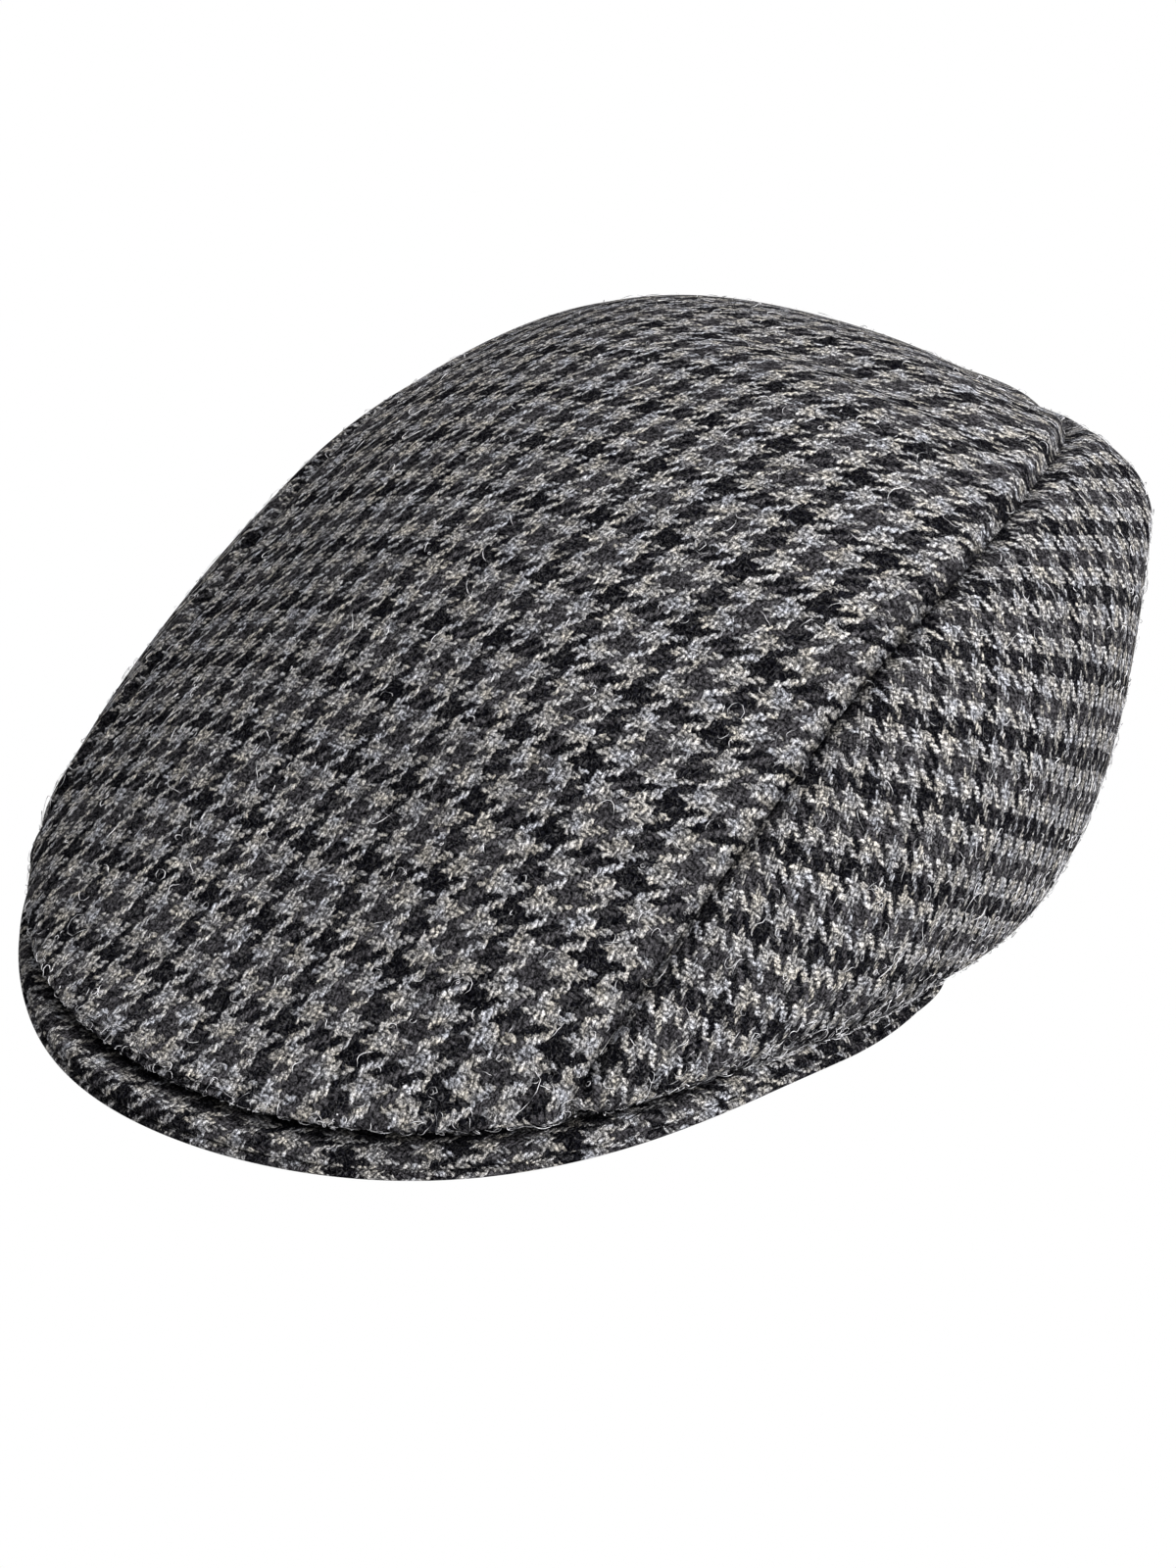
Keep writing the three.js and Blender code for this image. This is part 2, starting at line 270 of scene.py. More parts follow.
def sunk(point):
    """Depth of the seam's valley, of the puffs beside it and of the dents, along the normal."""
    angle = np.degrees(np.arctan2(np.abs(point[..., 0]), -point[..., 1]))
    away = np.abs(np.hypot(point[..., 0], point[..., 1]) - seam_radius(angle))
    depth = SEAM_DEPTH * np.exp(-((away / SEAM_WIDTH) ** 2))
    depth = depth - PUFF_HEIGHT * np.exp(-(((away - PUFF_AWAY) / PUFF_WIDTH) ** 2))
    for dent in DENTS:
        length, width, deep = (value * MM for value in dent["size"])
        turn = math.radians(dent["turn"])
        dx = point[..., 0] - dent["side"] * CROWN_WIDTH / 2
        dy = point[..., 1] - dent["back"] * CROWN_LENGTH / 2
        along = (dx * math.cos(turn) + dy * math.sin(turn)) / length
        across = (dy * math.cos(turn) - dx * math.sin(turn)) / width
        depth = depth + deep * np.exp(-(along**2) - across**2)
    belly = belly_height(angle)
    return depth * smoothstep(point[..., 2], belly * DENTS_FROM, belly)


def painted_furrow_shade(angle, way, point):
    """Share of painted shade: 1 at the bottom of the seam's furrow and under the crown's front edge,
    0 away from them.
    """
    turn = np.abs(angle)
    away = np.hypot(point[..., 0], point[..., 1]) - seam_radius(turn)
    belly = belly_height(turn)
    side = np.exp(-(((turn - FURROW_SIDE) / FURROW_SPREAD) ** 2))
    seam = np.exp(-((away / FURROW_WIDTH) ** 2)) * (FURROW_LEAST + (1 - FURROW_LEAST) * side)
    seam = seam * smoothstep(point[..., 2], belly * DENTS_FROM, belly)
    inside = smoothstep(way, *FURROW_UNDER)
    under = inside * (1 - smoothstep(turn, PEAK_END - FURROW_FADE, PEAK_END + FURROW_FADE / 2))
    return np.maximum(seam, under)


HEAD_BACK = CAD_HIGH[1] - float(crown_radius(np.array(180.0)))


def placed(points):
    """Points round the head's centre, moved to the frame's origin."""
    return points + np.array([0, HEAD_BACK, 0])


def make_mesh(name, points, faces, uv, deep, material):
    """A smooth-shaded mesh from points, face index arrays, a cloth coordinate and a share of
    painted shade a point.
    """
    mesh = bpy.data.meshes.new(name)
    mesh.from_pydata(points.tolist(), [], [list(face) for part in faces for face in part])
    layer = mesh.uv_layers.new(name="cloth")
    corner = np.empty(len(mesh.loops), dtype=np.int32)
    mesh.loops.foreach_get("vertex_index", corner)
    layer.data.foreach_set("uv", uv[corner].astype(np.float32).ravel())
    # Each point's share of painted shade, which darkens the wool's colour
    painted_shade_layer = mesh.attributes.new("painted_furrow_shade", "FLOAT", "POINT")
    painted_shade_layer.data.foreach_set("value", deep.astype(np.float32))
    mesh.polygons.foreach_set("use_smooth", np.ones(len(mesh.polygons), dtype=bool))
    mesh.materials.append(material)
    mesh.update()
    piece = bpy.data.objects.new(name, mesh)
    bpy.context.scene.collection.objects.link(piece)
    return piece


def grid_faces(index, closed=False):
    """Quads of a grid of point numbers, [column, row], where rows run down and columns round."""
    if closed:
        index = np.concatenate([index, index[:1]])
    quads = np.stack([index[:-1, :-1], index[:-1, 1:], index[1:, 1:], index[1:, :-1]], -1)
    return quads.reshape(-1, 4)


def thick_piece(name, outer, normal, faces, uv, deep, material):
    """Closes a sheet: an outer and an inner skin a cloth apart, and a wall round each open edge."""
    count = len(outer)
    inner = outer - normal * CLOTH
    edges = np.concatenate([faces[:, [i, (i + 1) % 4]] for i in range(4)])
    edges = edges[edges[:, 0] != edges[:, 1]]
    key = edges[:, 0].astype(np.int64) * count + edges[:, 1]
    back = edges[:, 1].astype(np.int64) * count + edges[:, 0]
    rim = edges[~np.isin(key, back)]
    used = np.unique(rim)
    middle = ((outer + inner) / 2)[used]
    place = np.full(count, -1)
    place[used] = 2 * count + np.arange(len(used))
    first, second = rim[:, 0], rim[:, 1]
    walls = [
        np.stack([second, first, place[first], place[second]], -1),
        np.stack([place[second], place[first], first + count, second + count], -1),
    ]
    points = np.concatenate([outer, inner, middle])
    both = np.concatenate([uv, uv, uv[used]])
    # The painted shade goes to both skins and to the walls
    painted_shade_all = np.concatenate([deep, deep, deep[used]])
    tidy = [[int(a) for k, a in enumerate(face) if a != face[k - 1]] for face in faces.tolist()]
    turned = [[a + count for a in face[::-1]] for face in tidy]
    return make_mesh(name, points, [tidy, turned, *walls], both, painted_shade_all, material)


def arc(point_at, low, high, steps=24):
    """Length along a curve point_at(parameter) from low to high, as the sum of its steps."""
    share = np.sin(np.linspace(0, np.pi / 2, steps + 1))
    line = point_at(low[..., None] + (high - low)[..., None] * share)
    return np.linalg.norm(np.diff(line, axis=-2), axis=-1).sum(-1)


def height_over(x, y):
    """Height of the smooth crown over a point of its plan."""
    angle = np.degrees(np.arctan2(np.abs(x), -y))
    share = np.minimum(np.hypot(x, y) / crown_radius(angle), 1)
    return crown(angle, np.arcsin(share) * 2 / np.pi)[..., 2]


def across_and_back(angle, way):
    """Cloth lengths of the top panel: across from its middle line, and backwards along that line."""
    angle, way = np.broadcast_arrays(np.asarray(angle, float), np.asarray(way, float))
    plan = crown(angle, np.minimum(way, 1))
    x, y = plan[..., 0], plan[..., 1]
    zero = np.zeros_like(x)

    def over(xs):
        ys = np.broadcast_to(y[..., None], xs.shape)
        return np.stack([xs, ys, height_over(xs, ys)], -1)

    def back(ys):
        xs = np.zeros_like(ys)
        return np.stack([xs, ys, height_over(xs, ys)], -1)

    def under(ways):
        return crown(np.broadcast_to(angle[..., None], ways.shape), ways)

    side = arc(over, zero, x) * np.sign(x)
    rear = arc(back, zero, y) * np.sign(y)
    fold = arc(under, np.ones_like(way), np.maximum(way, 1))
    turn = np.radians(angle)
    return side + fold * np.sin(turn), rear - fold * np.cos(turn)


TABLE_UNIT = 100 * MM
# How the checks lie on the top panel: shares of a check for each product of the cloth lengths
# across (u) and back (v), in units of 100 mm. One number steps a check to the left, the other back.
TOP_CHECKS = [
    {"u": 0, "v": 0, "left": -1.73, "back": 5.84},
    {"u": 1, "v": 0, "left": 13.93, "back": -1.95},
    {"u": 0, "v": 1, "left": -1.58, "back": 12.63},
    {"u": 2, "v": 0, "left": -2.71, "back": -1.04},
    {"u": 1, "v": 1, "left": 1.01, "back": -0.97},
    {"u": 0, "v": 2, "left": -1.52, "back": 0.72},
]


# The same for the wearer's left side panel: u is the length backwards from its middle, along the
# widest line, and v the length down from that line. The cloth lies askew: its rows run back and down.
SIDE_CHECKS = [
    {"u": 0, "v": 0, "left": 11.08, "back": 1.05},
    {"u": 1, "v": 0, "left": -8.79, "back": 9.19},
    {"u": 0, "v": 1, "left": 10.04, "back": 10.97},
]
# The way of the line along which u is measured, and its number of points
WIDEST = 1.15
WIDEST_STEPS = 721


def counted(table, u, v):
    """Check numbers to the left and backwards, from a table's shares of products of u and v."""
    powers = [((u / TABLE_UNIT) ** row["u"] * (v / TABLE_UNIT) ** row["v"], row) for row in table]
    left = sum(power * row["left"] for power, row in powers)
    back = sum(power * row["back"] for power, row in powers)
    return np.stack(np.broadcast_arrays(left, back), -1)


def top_checks(angle, way):
    return counted(TOP_CHECKS, *across_and_back(angle, way))


def side_checks(angle, way):
    """Checks of the left side panel. The right one is its mirror image with the two directions
    exchanged, which keeps the slant of the twill."""
    angle, way = np.broadcast_arrays(np.asarray(angle, float), np.asarray(way, float))

    def down(ways):
        return crown(np.broadcast_to(angle[..., None], ways.shape), ways)

    fall = arc(down, np.ones_like(way), way) * np.sign(way - 1)
    turns = np.linspace(0, 180, WIDEST_STEPS)
    line = crown(turns, np.full(WIDEST_STEPS, WIDEST))
    walked = np.concatenate([[0], np.cumsum(np.linalg.norm(np.diff(line, axis=0), axis=1))])
    back = np.interp(np.abs(angle), turns, walked - np.interp(90, turns, walked))
    checks = counted(SIDE_CHECKS, back, fall)
    return np.where(angle[..., None] > 0, checks, checks[..., ::-1])


# One check on the peak, and how close points lie that count as one
CHECK = 7.7 * MM
SAME_PLACE = 0.001 * MM


def merged(points):
    """The first of each set of points that fall together, and each point's number among those."""
    keys = np.round(points / SAME_PLACE).astype(np.int64)
    first, index = np.unique(keys, axis=0, return_index=True, return_inverse=True)[1:]
    return first, index.reshape(-1)


def panel(columns, checks, closed):
    """The dented outer skin of a panel from columns of (angle, ways): its points, outward
    directions, faces, cloth coordinates and shares of painted shade."""
    angles = np.array([column[0] for column in columns])[:, None]
    ways = np.array([column[1] for column in columns])
    smooth = crown(angles, ways)
    normal = crown_normal(np.broadcast_to(angles, ways.shape), ways)
    outer = placed(smooth - normal * sunk(smooth)[..., None])
    uv = checks(angles, ways)
    index = np.arange(ways.size).reshape(ways.shape)
    faces = grid_faces(index, closed)
    # Painted shade in the seam's furrow and under the crown's front edge
    deep = painted_furrow_shade(angles, ways, smooth)
    return outer.reshape(-1, 3), normal.reshape(-1, 3), faces, uv.reshape(-1, 2), deep.ravel()


def joined(name, parts, material):
    """One piece from several grids that share their edge points."""
    counts = np.cumsum([0] + [len(part[0]) for part in parts])
    outer = np.concatenate([part[0] for part in parts])
    normal = np.concatenate([part[1] for part in parts])
    uv = np.concatenate([part[3] for part in parts])
    deep = np.concatenate([part[4] for part in parts])
    faces = np.concatenate([part[2] + start for part, start in zip(parts, counts)])
    first, index = merged(outer)
    faces = index[faces]
    flat = [len(set(face)) < 3 for face in faces.tolist()]
    faces = faces[~np.array(flat)]
    return thick_piece(name, outer[first], normal[first], faces, uv[first], deep[first], material)


def towards_edge(end, rows):
    """Ways from the crown's centre to an end, closer together near the end."""
    return end * (1 - (1 - np.linspace(0, 1, rows + 1)) ** EDGE_CROWDING)


def top_panel(material):
    front = seam_front(-SEAM_GAP / 2)
    middle = np.linspace(-front, front, FRONT_COLUMNS + 1)
    left = np.linspace(front, 180, SEAM_COLUMNS + 1)
    back = np.concatenate([left, -left[-2::-1]])
    over = [(angle, towards_edge(1, TOP_ROWS)) for angle in middle]
    for angle in back[1:-1]:
        over.append((angle, towards_edge(float(seam_way(angle, -SEAM_GAP / 2)), TOP_ROWS)))
    fold = [(angle, np.linspace(1, 2, FOLD_ROWS + 1)) for angle in middle]
    parts = [panel(over, top_checks, True), panel(fold, top_checks, False)]
    return joined("top_panel_cloth", parts, material)


def side_panel(name, side, material):
    front = seam_front(SEAM_GAP / 2)
    back = 180 - math.degrees(SEAM_GAP / 2 / OPENING_BACK)
    angles = np.linspace(front, back, SEAM_COLUMNS + 1)
    if side < 0:
        angles = -angles[::-1]
    share = np.linspace(0, 1, SIDE_ROWS + 1)
    columns = []
    for angle in angles:
        seam = float(seam_way(angle, SEAM_GAP / 2))
        columns.append((angle, seam + (2 - seam) * share**SEAM_CROWDING))
    return joined(name, [panel(columns, side_checks, False)], material)


# The rolled edge of the peak's covers: how far in from the edge and down from the peak's upper
# face each point of their sections lies, in millimetres, from the top of the nose to its end
TOP_NOSE = [
    (2.8, 0.0),
    (1.7, 0.2),
    (0.8, 0.7),
    (0.2, 1.5),
    (0.0, 2.3),
    (0.2, 3.0),
    (0.7, 3.4),
    (1.6, 3.4),
]
UNDER_NOSE = [(2.0, 3.5), (0.9, 3.6), (0.1, 3.9), (-0.3, 4.5), (-0.2, 5.1), (0.5, 5.7), (2.2, 5.6)]
# Where the top cover ends and the under cover begins, down from the peak's upper face
TOP_COVER_END = 2.4 * MM
UNDER_COVER_START = 2.7 * MM
# The covers run on a little behind the peak's solids, as horns that narrow over some degrees
# to a share of their width and thickness, while they close up to the crown
HORN_END = 97
HORN = 22
HORN_TIP = 0.25
HORN_CLOSES = 1.3
# Where the rolled edge begins, as a share of the way out, and the painted shadow on its first row
NOSE_FROM = 0.9
NOSE_PAINTED_SHADE = 0.6


def cover(name, nose, above, below, material):
    """A cover of the peak: its section from the rim out to the rolled edge and back, swept round.

    above and below are the depths of its two faces under the peak's upper face.
    """
    angles = np.linspace(-HORN_END, HORN_END, PEAK_COLUMNS + 1)
    within = np.minimum(np.abs(angles), PEAK_END)
    inner = rim_radius(angles) - CLOTH
    edge = inner + peak_edge(within)[0] - rim_radius(within) + CLOTH
    past = np.clip((np.abs(angles) - HORN_END + HORN) / HORN, 0, 1)
    full = HORN_TIP + (1 - HORN_TIP) * np.sqrt(1 - past**2)
    edge = inner + (edge - inner) * full
    share = np.linspace(0, 1, PEAK_ROWS + 1)[:-1]
    steps = []
    for t in share:
        radius = inner + (edge - nose[0][0] * MM - inner) * t
        steps.append((radius, np.full_like(radius, above if t < NOSE_FROM else nose[0][1] * MM)))
    for inwards, down in nose:
        steps.append((edge - inwards * MM, np.full_like(edge, down * MM)))
    for t in share[::-1]:
        radius = inner + (edge - nose[-1][0] * MM - inner) * t
        steps.append((radius, np.full_like(radius, below if t < NOSE_FROM else nose[-1][1] * MM)))
    radius = np.stack([step[0] for step in steps], 1)
    depth = np.stack([step[1] for step in steps], 1)
    turn = np.radians(angles)[:, None]
    clearance = PEAK_CLEARANCE * (1 - HORN_CLOSES * past)
    height = underline(angles[:, None], np.minimum(radius, edge[:, None]))
    height = height - clearance[:, None] - depth * full[:, None]
    points = placed(np.stack([radius * np.sin(turn), -radius * np.cos(turn), height], -1))
    length = np.linalg.norm(np.diff(points, axis=1), axis=-1)
    walked = np.concatenate([np.zeros((len(angles), 1)), np.cumsum(length, 1)], 1)
    spread = edge[:, None] + walked - walked[:, [PEAK_ROWS]]
    x = spread * np.sin(turn)
    y = -spread * np.cos(turn)
    uv = np.stack([x / CHECK, y / CHECK], -1)
    index = np.arange(radius.size).reshape(radius.shape)
    ring = np.concatenate([index, index[:, :1]], 1)
    faces = grid_faces(ring)
    ends = [index[0][::-1][None], index[-1][None]]
    # Painted shadow under the crown's front edge: the face before the rolled edge is painted in full
    # shade, its first row in part
    deep = np.zeros_like(radius)
    deep[:, :PEAK_ROWS - 1] = 1
    deep[:, PEAK_ROWS - 1] = NOSE_PAINTED_SHADE
    faces = [faces, *ends]
    return make_mesh(name, points.reshape(-1, 3), faces, uv.reshape(-1, 2), deep.ravel(), material)


def colour(red, green, blue):
    """A linear colour from display values 0..255, by the usual display curve."""
    parts = np.array([red, green, blue]) / 255
    linear = np.where(parts <= 0.04045, parts / 12.92, ((parts + 0.055) / 1.055) ** 2.4)
    return (*linear.tolist(), 1)


class Nodes:
    """Short names for the nodes of one material."""

    def __init__(self, name):
        self.material = bpy.data.materials.new(name)
        self.material.use_nodes = True
        self.tree = self.material.node_tree
        self.tree.nodes.clear()

    def put(self, node, name, value):
        if isinstance(value, bpy.types.NodeSocket):
            self.tree.links.new(value, node.inputs[name])
        else:
            node.inputs[name].default_value = value

    def maths(self, operation, *values):
        node = self.tree.nodes.new("ShaderNodeMath")
        node.operation = operation
        for place, value in enumerate(values):
            self.put(node, place, value)
        return node.outputs[0]

    def between(self, value, low, high):
        """1 where the value lies from low up to high, 0 elsewhere."""
        above = self.maths("GREATER_THAN", value, low)
        return self.maths("MULTIPLY", above, self.maths("LESS_THAN", value, high))

    def mix(self, share, first, second):
        """A colour between two others, by the mixing node's colour sockets."""
        node = self.tree.nodes.new("ShaderNodeMix")
        node.data_type = "RGBA"
        self.put(node, 0, share)
        self.put(node, 6, first)
        self.put(node, 7, second)
        return node.outputs[2]

    def noise(self, place, scale, detail=2.0, rough=0.5, twist=0.0):
        node = self.tree.nodes.new("ShaderNodeTexNoise")
        self.put(node, "Vector", place)
        self.put(node, "Scale", scale)
        self.put(node, "Detail", detail)
        self.put(node, "Roughness", rough)
        self.put(node, "Distortion", twist)
        return node

    def curls(self, place, scale, thin):
        """Thin curly lines where a smooth noise is near its middle: 1 on the line, 0 beside it."""
        value = self.noise(place, scale, 1.0, 0.5, 0.8).outputs["Fac"]
        away = self.maths("ABSOLUTE", self.maths("SUBTRACT", value, 0.5))
        return self.maths("MAXIMUM", self.maths("MULTIPLY_ADD", away, -1 / thin, 1.0), 0.0)

    def split(self, vector):
        node = self.tree.nodes.new("ShaderNodeSeparateXYZ")
        self.put(node, 0, vector)
        return node.outputs

    def surface(self, kind, values):
        """The finished material: a shader of that kind, with those values, on its output."""
        shader = self.tree.nodes.new(kind)
        for name, value in values.items():
            self.put(shader, name, value)
        out = self.tree.nodes.new("ShaderNodeOutputMaterial")
        self.put(out, "Surface", shader.outputs[0])
        return self.material


# The weave, in threads: those of a check, the middle of the black ones, the repeat of the colours
# and that of the twill, and how far a fine and a broad noise push them aside
THREADS = 8.0
BLACK_MIDDLE = 6.0
COLOUR_REPEAT = 16.0
TWILL = 4.0
FRAY_FINE = 1.7
FRAY_BROAD = 1.8
# The floats: their lean with the twill, half their lengths in threads, how round they are across,
# the weft's height as a share of the warp's, and how much of that the warp gives way to
LEAN = 0.16
WARP_FLOAT = 1.3
WEFT_FLOAT = 1.2
ROUNDING = 0.95
WEFT_HEIGHT = 0.6
WEFT_PUSH = 0.35
# Sizes of the noises, as their number of waves a metre, and each noise's contrast and offset
FINE = 700.0
BROAD = 70.0
SPECKS = 1300.0
SPECK_CONTRAST = (4.6, -1.8)
TINTS = 260.0
TINT_CONTRAST = (3.0, -1.0)
# Pale curls, and painted shade in the gaps between fibres: waves a metre, thickness as a share of
# the noise, and how far they colour the yarn
SMALL_CURLS = (640.0, 0.035)
LARGE_CURLS = (420.0, 0.03)
CURL_SHARE = 0.13
GAP_SHADE_LINES = (520.0, 0.06)
GAP_SHADE_SHARE = 0.6
# The share of light left in the painted shade between the floats, and the relief's height with the
# shares of specks and curls
BETWEEN_FLOATS = 0.15
RELIEF = 0.7 * MM
SPECK_RELIEF = 0.9
CURL_RELIEF = 0.4


def wool(name):
    """Two-and-two twill: four light threads, then four dark ones, black and charcoal by turns.

    The cloth map counts checks, so eight times it counts threads. Warp i lies over weft j where
    (i - j) modulo 4 is below 2. Its floats are longer and higher than the weft's and lean with the
    twill: the lean shifts the place across by a share of the place along the float.
    """
    n = Nodes(name)
    place = n.tree.nodes.new("ShaderNodeTexCoord").outputs["Object"]
    cloth = n.tree.nodes.new("ShaderNodeUVMap")
    cloth.uv_map = "cloth"
    counts = n.split(cloth.outputs[0])[:2]
    fine = n.split(n.noise(place, FINE, 2.0, 0.6).outputs["Color"])
    broad = n.split(n.noise(place, BROAD, 1.0).outputs["Color"])
    threads = []
    for axis, count in enumerate(counts):
        straight = n.maths("MULTIPLY_ADD", count, THREADS, BLACK_MIDDLE)
        near = n.maths("SUBTRACT", fine[axis], 0.5)
        far = n.maths("SUBTRACT", broad[axis], 0.5)
        frayed = n.maths("MULTIPLY_ADD", near, FRAY_FINE, straight)
        threads.append(n.maths("MULTIPLY_ADD", far, FRAY_BROAD, frayed))
    x, y = threads

    def wrapped(value):
        """The place along a float from its middle, from minus half a repeat to half a repeat."""
        moved = n.maths("FLOORED_MODULO", n.maths("ADD", value, TWILL / 2), TWILL)
        return n.maths("SUBTRACT", moved, TWILL / 2)

    def hump(across, along, length):
        """Height of a float: a dome over its width and, with the fourth power, over its length."""
        side = n.maths("MULTIPLY_ADD", n.maths("FRACT", across), 2.0, -1.0)
        far = n.maths("POWER", n.maths("ABSOLUTE", n.maths("DIVIDE", along, length)), 4.0)
        rounding = n.maths("MULTIPLY", n.maths("MULTIPLY", side, side), ROUNDING)
        return n.maths("SUBTRACT", n.maths("SUBTRACT", 1.0, far), rounding)

    along = wrapped(n.maths("SUBTRACT", n.maths("FLOOR", x), y))
    leaning = n.maths("MULTIPLY_ADD", along, LEAN, x)
    i, j = n.maths("FLOOR", leaning), n.maths("FLOOR", y)
    warp_along = wrapped(n.maths("SUBTRACT", i, y))
    warp_height = hump(leaning, warp_along, WARP_FLOAT)
    weft_along = wrapped(n.maths("SUBTRACT", n.maths("SUBTRACT", x, j), 3.0))
    weft_height = n.maths("MULTIPLY", hump(y, weft_along, WEFT_FLOAT), WEFT_HEIGHT)
    over = n.maths("GREATER_THAN", warp_height, n.maths("MULTIPLY", weft_height, WEFT_PUSH))
    height = n.maths("MAXIMUM", n.maths("MAXIMUM", warp_height, weft_height), 0.0)

    under = n.maths("MULTIPLY", n.maths("SUBTRACT", 1.0, over), j)
    turn = n.maths("FLOORED_MODULO", n.maths("MULTIPLY_ADD", over, i, under), COLOUR_REPEAT)
    # Of sixteen threads, 4 to 7 are black, 12 to 15 charcoal and the others light
    black = n.between(turn, 3.5, 7.5)
    charcoal = n.maths("GREATER_THAN", turn, 11.5)

    patches = n.noise(place, SPECKS, 3.0, 0.75).outputs["Fac"]
    speck = n.maths("MULTIPLY_ADD", patches, *SPECK_CONTRAST)
    tint = n.maths("MULTIPLY_ADD", n.noise(place, TINTS, 2.0).outputs["Fac"], *TINT_CONTRAST)
    pale = n.mix(tint, colour(214, 216, 225), colour(231, 224, 213))
    light = n.mix(speck, colour(46, 45, 49), pale)
    dark = n.mix(speck, colour(1, 1, 2), colour(32, 32, 37))
    middle = n.mix(speck, colour(5, 5, 8), colour(90, 88, 92))
    yarn = n.mix(black, n.mix(charcoal, light, middle), dark)
    curls = n.maths("MAXIMUM", n.curls(place, *LARGE_CURLS), n.curls(place, *SMALL_CURLS))
    # Painted shade in the gaps between fibres: thin curly lines mixed towards near black
    gap_shade = n.curls(place, *GAP_SHADE_LINES)
    fluffy = n.mix(n.maths("MULTIPLY", curls, CURL_SHARE), yarn, colour(196, 194, 196))
    hairy = n.mix(n.maths("MULTIPLY", gap_shade, GAP_SHADE_SHARE), fluffy, colour(6, 6, 8))
    # Painted shade between the floats: the colour darkens towards near black where the weave lies low
    hollow = n.maths("MINIMUM", n.maths("ADD", height, BETWEEN_FLOATS), 1.0)
    # Painted shade: the colour darkens by each point's share of painted shade, in the seam's furrow and
    # under the crown's front edge
    deep = n.tree.nodes.new("ShaderNodeAttribute")
    deep.attribute_name = "painted_furrow_shade"
    lit = n.maths("MULTIPLY_ADD", deep.outputs["Fac"], -FURROW_PAINTED_SHADE, 1.0)
    shaded = n.mix(n.maths("MULTIPLY", hollow, lit), colour(3, 3, 5), hairy)

    bump = n.tree.nodes.new("ShaderNodeBump")
    n.put(bump, "Strength", 1.0)
    n.put(bump, "Distance", RELIEF)
    curly = n.maths("MULTIPLY_ADD", curls, CURL_RELIEF, height)
    n.put(bump, "Height", n.maths("MULTIPLY_ADD", patches, SPECK_RELIEF, curly))
    return n.surface("ShaderNodeBsdfPrincipled", {
        "Base Color": shaded,
        "Roughness": 0.95,
        "Specular IOR Level": 0.0,
        "Normal": bump.outputs[0],
    })


HAIRS = 4200
HAIR_POINTS = 8
HAIR_SEED = 7
HAIR_RADIUS = 0.075 * MM
HAIR_TAPER = 0.25
HAIR_PATCHES = 330.0
HAIR_CONTRAST = (5.0, -2.0)
# How far a hair's ends and its middle stand off the wool, the middle times a share from this range
HAIR_CLEAR = 0.1 * MM
HAIR_LIFT = 0.35 * MM
HAIR_LIFTS = (0.3, 1.6)
# Their lengths in millimetres follow a gamma distribution of this shape and scale
HAIR_SHAPE = 2.2
HAIR_SCALE = 1.5
# They start between these shares of the surface up to a farthest way, and stay within two ways
HAIR_SHARES = (0.002, 1)
HAIR_FARTHEST = 1.75
HAIR_WITHIN = (0.03, 1.95)
# How much a hair keeps turning and wanders at each step, in radians
HAIR_TURNING = 0.7
HAIR_WANDER = 0.35
# Half the steps over which the surface's stretch is measured, and the least stretch of a degree
STRETCH_ANGLE = 0.5
STRETCH_WAY = 0.01
LEAST_STRETCH = 0.1 * MM


def hair_paths(count):
    """Curved lines that creep over the crown: each starts at a random place and turns as it goes.

    They are walked over the surface in angle and way, with each step's length turned into those by
    the surface's own stretch, and lie a little above it, highest in their middle.
    """
    chance = np.random.default_rng(HAIR_SEED)
    angle = chance.uniform(-180, 180, count)
    way = HAIR_FARTHEST * np.sqrt(chance.uniform(*HAIR_SHARES, count))
    heading = chance.uniform(0, 2 * np.pi, count)
    turning = chance.normal(0, 1, count)
    length = chance.gamma(HAIR_SHAPE, HAIR_SCALE, count) * MM
    lift = chance.uniform(*HAIR_LIFTS, count) * HAIR_LIFT
    stride = length / (HAIR_POINTS - 1)
    points, normals = [], []
    for step in range(HAIR_POINTS):
        here = crown(angle, way)
        normal = crown_normal(angle, way)
        raised = -sunk(here) + lift * np.sin(np.pi * step / (HAIR_POINTS - 1)) + HAIR_CLEAR
        points.append(here + normal * raised[:, None])
        normals.append(normal)
        round_it = crown(angle + STRETCH_ANGLE, way) - crown(angle - STRETCH_ANGLE, way)
        down_it = crown(angle, way + STRETCH_WAY) - crown(angle, way - STRETCH_WAY)
        per_degree = np.linalg.norm(round_it, axis=-1) / (2 * STRETCH_ANGLE)
        per_way = np.linalg.norm(down_it, axis=-1) / (2 * STRETCH_WAY)
        angle = angle + stride * np.cos(heading) / np.maximum(per_degree, LEAST_STRETCH)
        way = np.clip(way + stride * np.sin(heading) / per_way, *HAIR_WITHIN)
        heading = heading + turning * HAIR_TURNING + chance.normal(0, HAIR_WANDER, count)
    return placed(np.stack(points, 1)), np.stack(normals, 1)


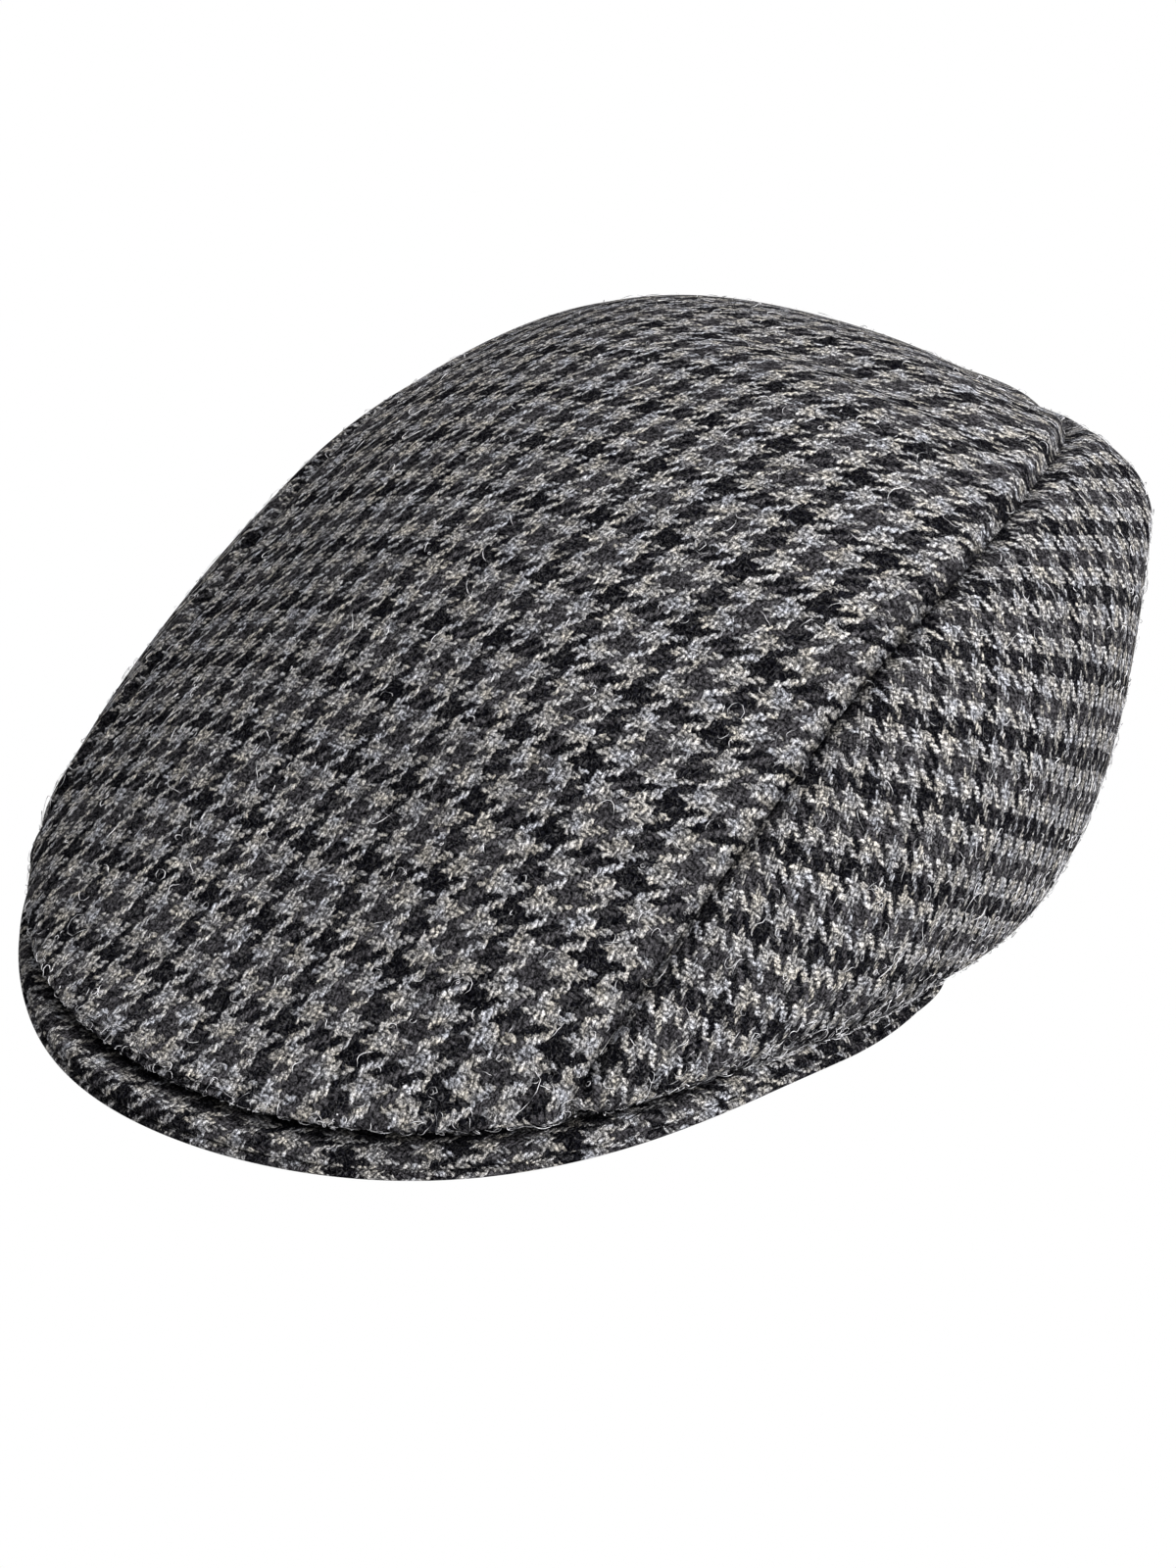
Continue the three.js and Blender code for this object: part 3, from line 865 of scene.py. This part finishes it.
def hairs(material):
    """Loose wool hairs: three-sided tubes along the hair paths, thinner towards both ends."""
    line, normal = hair_paths(HAIRS)
    along = np.gradient(line, axis=1)
    along = along / np.linalg.norm(along, axis=-1, keepdims=True)
    side = np.cross(along, normal)
    side = side / np.linalg.norm(side, axis=-1, keepdims=True)
    up = np.cross(side, along)
    thin = np.sin(np.linspace(HAIR_TAPER, np.pi - HAIR_TAPER, HAIR_POINTS))[:, None]
    turns = np.radians([90, 210, 330])
    rings = [line + HAIR_RADIUS * thin * (np.cos(a) * side + np.sin(a) * up) for a in turns]
    points = np.stack(rings, 2)
    index = np.arange(HAIRS * HAIR_POINTS * 3).reshape(HAIRS, HAIR_POINTS, 3)
    turned = np.roll(index, -1, axis=2)
    walls = np.stack([index[:, :-1], index[:, 1:], turned[:, 1:], turned[:, :-1]], -1)
    faces = [walls.reshape(-1, 4), index[:, 0], index[:, -1, ::-1]]
    uv = np.zeros((points.size // 3, 2))
    return make_mesh("stray_hairs", points.reshape(-1, 3), faces, uv, uv[:, 0], material)


def hair_wool():
    """Light and dark single hairs, each patch of the cap with its own mix of the two."""
    n = Nodes("wool_hairs")
    place = n.tree.nodes.new("ShaderNodeTexCoord").outputs["Object"]
    patches = n.noise(place, HAIR_PATCHES, 1.0).outputs["Fac"]
    share = n.maths("MULTIPLY_ADD", patches, *HAIR_CONTRAST)
    return n.surface("ShaderNodeBsdfPrincipled", {
        "Base Color": n.mix(share, colour(60, 60, 64), colour(222, 221, 224)),
        "Roughness": 0.6,
        "Specular IOR Level": 0.2,
    })


top = top_panel(wool("wool_top"))
left = side_panel("side_panel_left_cloth", 1, wool("wool_side"))
right = side_panel("side_panel_right_cloth", -1, left.data.materials[0])
peak_wool = wool("wool_peak")
peak_top_cloth = cover("peak_top_cloth", TOP_NOSE, 0.0, TOP_COVER_END, peak_wool)
peak_under_cloth = cover(
    "peak_under_cloth", UNDER_NOSE, UNDER_COVER_START, PEAK_THICKNESS, peak_wool
)

PIECES = [
    (top, "top_panel", "wool_top"),
    (left, "side_panel_left", "wool_side"),
    (right, "side_panel_right", "wool_side"),
    (peak_top_cloth, "peak_top_cover", "wool_peak"),
    (peak_under_cloth, "peak_under_cover", "wool_peak"),
]
for piece, node, slot in PIECES:
    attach(piece, "root")
    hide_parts(node)

stray = hairs(hair_wool())
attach(stray, "root")

# The camera, fitted to the photo. Its scale is the focal length in pixels of the photo, and the
# target stands that many pixels aside and above the middle of the picture.
AZIMUTH = math.radians(41.95)
ELEVATION = math.radians(27.4)
DISTANCE = 803.9 * MM
TARGET = Vector((0, HEAD_BACK, 50 * MM))
SCALE = 3931
ASIDE = 7.5
ABOVE = 129.9
PICTURE_HEIGHT = 1600
SENSOR = 36
right_way = Vector((math.cos(AZIMUTH), math.sin(AZIMUTH), 0))
back_way = Vector((
    math.sin(AZIMUTH) * math.cos(ELEVATION),
    -math.cos(AZIMUTH) * math.cos(ELEVATION),
    math.sin(ELEVATION),
))
up_way = back_way.cross(right_way)
spot = TARGET + back_way * DISTANCE
aim = TARGET - (right_way * ASIDE + up_way * ABOVE) * (DISTANCE / SCALE)
camera = bpy.data.objects.new("camera", bpy.data.cameras.new("camera"))
camera.data.sensor_fit = "VERTICAL"
camera.data.sensor_height = SENSOR
camera.data.lens = SENSOR * SCALE / PICTURE_HEIGHT
camera.location = spot
camera.rotation_euler = (aim - spot).to_track_quat("-Z", "Y").to_euler()
bpy.context.scene.collection.objects.link(camera)
bpy.context.scene.camera = camera


LIGHTS_AIM = Vector((0, 0, 40 * MM))


def area_light(name, place, power, size):
    """A square light of a width in metres and a power in watts, turned to the cap's middle."""
    data = bpy.data.lights.new(name, "AREA")
    data.energy = power
    data.size = size
    light = bpy.data.objects.new(name, data)
    light.location = place
    light.rotation_euler = (LIGHTS_AIM - Vector(place)).to_track_quat("-Z", "Y").to_euler()
    bpy.context.scene.collection.objects.link(light)


area_light("light_back", (-0.1, 0.9, 1.3), 29, 1.0)
area_light("light_right", (1.3, 0.0, 0.7), 40, 0.9)
area_light("light_front", (-0.3, -1.2, 1.0), 1, 1.4)

# A white world that is as bright as the floor at the horizon and weaker above it
world = bpy.data.worlds.new("studio")
world.use_nodes = True
backdrop = world.node_tree.nodes["Background"]
backdrop.inputs["Color"].default_value = (1, 1, 1, 1)
facing = world.node_tree.nodes.new("ShaderNodeTexCoord")
parts = world.node_tree.nodes.new("ShaderNodeSeparateXYZ")
world.node_tree.links.new(facing.outputs["Generated"], parts.inputs[0])
fade = world.node_tree.nodes.new("ShaderNodeMapRange")
fade.interpolation_type = "SMOOTHSTEP"
world.node_tree.links.new(parts.outputs["Z"], fade.inputs["Value"])
for name, value in (("From Min", 0.1), ("From Max", 0.3), ("To Min", 1.0), ("To Max", 0.54)):
    fade.inputs[name].default_value = value
world.node_tree.links.new(fade.outputs["Result"], backdrop.inputs["Strength"])
bpy.context.scene.world = world
bpy.context.scene.view_settings.view_transform = "Standard"

# The floor glows evenly, as the photo's ground is white up to the cap
FAR = 6
corners = [(-FAR, -FAR, 0), (FAR, -FAR, 0), (FAR, FAR, 0), (-FAR, FAR, 0)]
floor_mesh = bpy.data.meshes.new("floor")
floor_mesh.from_pydata(corners, [], [(0, 1, 2, 3)])
floor = bpy.data.objects.new("floor", floor_mesh)
bpy.context.scene.collection.objects.link(floor)
glow = Nodes("floor_white").surface("ShaderNodeEmission", {"Color": (1, 1, 1, 1)})
floor_mesh.materials.append(glow)
